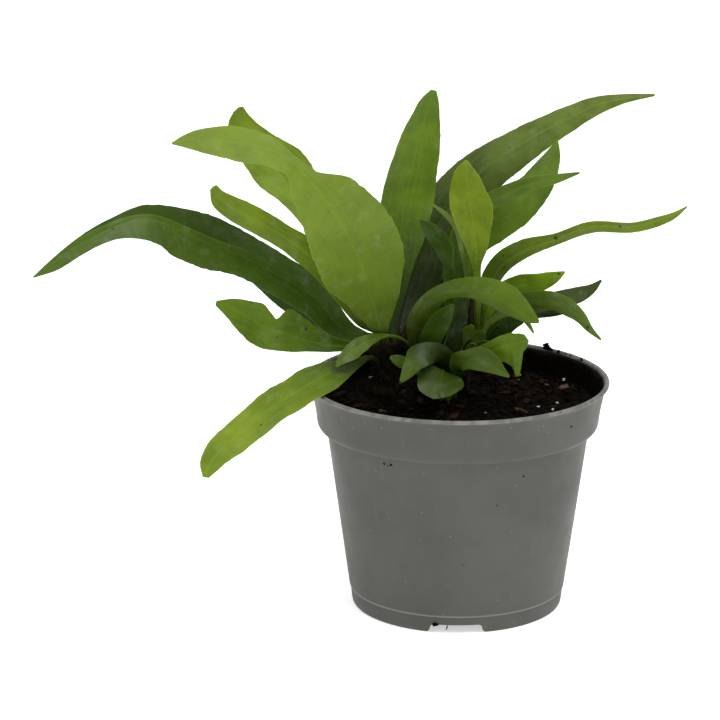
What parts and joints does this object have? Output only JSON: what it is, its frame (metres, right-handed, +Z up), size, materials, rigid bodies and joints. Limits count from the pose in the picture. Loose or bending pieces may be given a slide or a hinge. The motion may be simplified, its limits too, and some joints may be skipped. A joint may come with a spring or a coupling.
{
  "type": "young strap fern in a plastic nursery pot",
  "caption": "Young potted fern with glossy strap-shaped fronds, some forked or lobed, growing from a short rhizome in dark soil in a round tapered grey nursery pot.",
  "frame": {"origin": "centre of the circle that the pot's foot stands on, at floor level", "axes": "+Z up along the pot's axis; -Y is the plant's front, the side the picture looks at; +X is to the right seen from the front, where the long upper frond points; the longest frond points to -X"},
  "size_m": [0.2519, 0.1204, 0.2024],
  "materials": {
    "grey_plastic": "satin grey moulded plastic, stained brown inside",
    "dark_soil": "dark moist potting soil with bark chips and perlite",
    "rhizome_bark": "brown scaly rhizome",
    "juvenile_green": "satin young leaf",
    "frond_long_left_green": "glossy deep green leaf",
    "frond_under_left_green": "dark green leaf in the shade",
    "frond_forked_left_green": "satin fresh green leaf",
    "frond_low_left_green": "satin yellow-green young leaf",
    "frond_small_front_green": "satin yellow-green young leaf",
    "frond_broad_front_green": "matte pale green leaf underside",
    "frond_curl_high_left_green": "satin fresh green leaf",
    "frond_narrow_left_green": "satin fresh green leaf",
    "frond_upright_green": "satin fresh green leaf",
    "frond_long_right_green": "satin olive green leaf",
    "frond_broad_right_green": "glossy deep green leaf",
    "frond_pointed_right_green": "satin fresh green leaf",
    "frond_bright_upright_green": "satin yellow-green young leaf",
    "frond_slim_upright_green": "glossy deep green leaf",
    "frond_dark_short_green": "dark green leaf in the shade",
    "frond_sprig_green": "satin olive green leaf",
    "frond_arching_front_green": "satin fresh green leaf",
    "frond_wavy_right_green": "glossy deep green leaf",
    "frond_mid_right_green": "satin fresh green leaf",
    "frond_drooping_right_green": "glossy deep green leaf",
    "frond_back_right_green": "glossy deep green leaf",
    "frond_shade_right_green": "dark green leaf in the shade",
    "frond_thin_drooping_green": "satin olive green leaf",
    "frond_lobed_right_green": "satin yellow-green young leaf",
    "frond_pointed_front_green": "satin fresh green leaf",
    "frond_wavy_front_green": "satin yellow-green young leaf",
    "frond_round_front_green": "satin fresh green leaf",
    "frond_stub_front_green": "satin yellow-green young leaf",
    "frond_curled_front_green": "satin fresh green leaf",
    "frond_knob_tip_green": "satin fresh green leaf",
    "frond_slim_front_green": "glossy deep green leaf",
    "frond_shade_front_green": "dark green leaf in the shade",
    "frond_shade_back_green": "dark green leaf in the shade"
  },
  "bodies": {
    "root": {"pot": "grey_plastic", "soil": "dark_soil", "rhizome": "rhizome_bark", "frond_long_left": "frond_long_left_green", "frond_under_left": "frond_under_left_green", "frond_forked_left": "frond_forked_left_green", "frond_low_left": "frond_low_left_green", "frond_small_front": "frond_small_front_green", "frond_broad_front": "frond_broad_front_green", "frond_curl_high_left": "frond_curl_high_left_green", "frond_narrow_left": "frond_narrow_left_green", "frond_upright": "frond_upright_green", "frond_long_right": "frond_long_right_green", "frond_broad_right": "frond_broad_right_green", "frond_pointed_right": "frond_pointed_right_green", "frond_bright_upright": "frond_bright_upright_green", "frond_slim_upright": "frond_slim_upright_green", "frond_dark_short": "frond_dark_short_green", "frond_sprig": "frond_sprig_green", "frond_arching_front": "frond_arching_front_green", "frond_wavy_right": "frond_wavy_right_green", "frond_mid_right": "frond_mid_right_green", "frond_drooping_right": "frond_drooping_right_green", "frond_back_right": "frond_back_right_green", "frond_shade_right": "frond_shade_right_green", "frond_thin_drooping": "frond_thin_drooping_green", "frond_lobed_right": "frond_lobed_right_green", "frond_pointed_front": "frond_pointed_front_green", "frond_wavy_front": "frond_wavy_front_green", "frond_round_front": "frond_round_front_green", "frond_stub_front": "frond_stub_front_green", "frond_curled_front": "frond_curled_front_green", "frond_knob_tip": "frond_knob_tip_green", "frond_slim_front": "frond_slim_front_green", "frond_shade_front": "frond_shade_front_green", "frond_shade_back": "frond_shade_back_green", "juvenile_tuft": "juvenile_green"}
  },
  "joints": []
}
